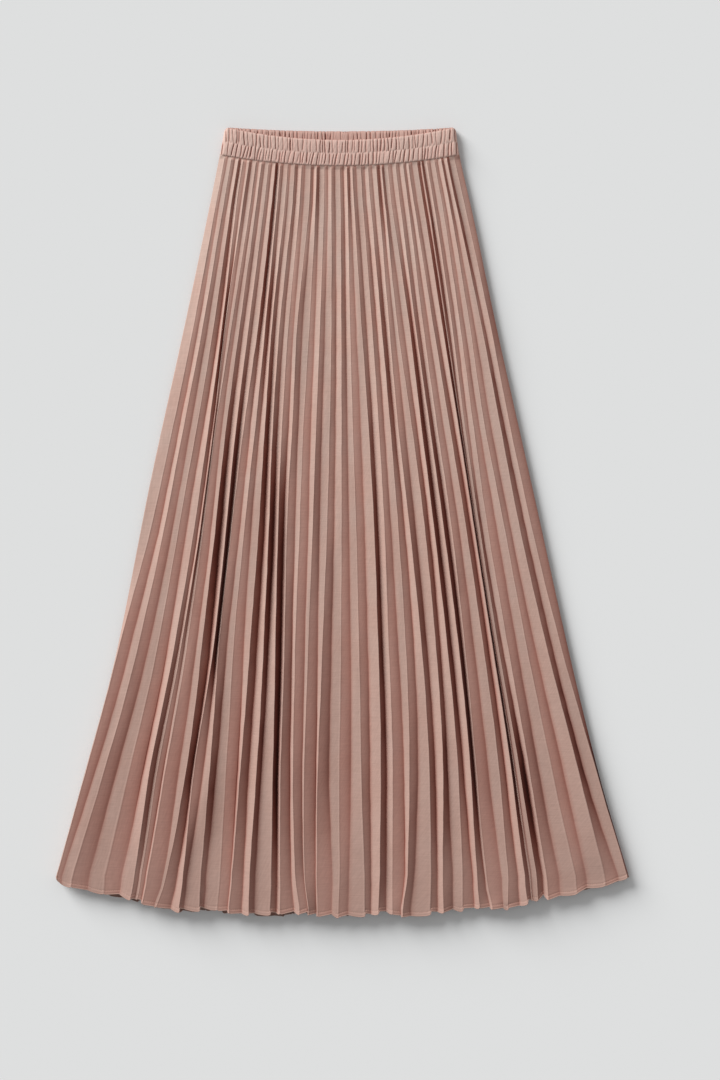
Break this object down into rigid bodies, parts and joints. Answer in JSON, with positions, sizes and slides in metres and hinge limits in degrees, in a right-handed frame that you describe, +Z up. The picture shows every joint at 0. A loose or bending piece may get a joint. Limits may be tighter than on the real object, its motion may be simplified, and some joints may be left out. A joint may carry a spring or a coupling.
{
  "type": "pleated a-line maxi skirt",
  "caption": "Ankle-length A-line skirt in dusty rose crepe, sunray pleated from a ruched elastic waistband, laid flat on its back panel.",
  "frame": {"origin": "middle of the bounding box's underside, on the surface the skirt lies on", "axes": "+Z up from the surface, +Y from the hem towards the waist, +X to the right as seen from above"},
  "size_m": [0.714, 0.9841, 0.0205],
  "materials": {
    "pleated_crepe": "matte, permanently pleated crepe",
    "ruched_waistband": "matte crepe, ruched over elastic"
  },
  "bodies": {
    "root": {"front_panel": "pleated_crepe", "back_panel": "pleated_crepe", "waistband_front": "ruched_waistband", "waistband_back": "ruched_waistband"}
  },
  "joints": []
}
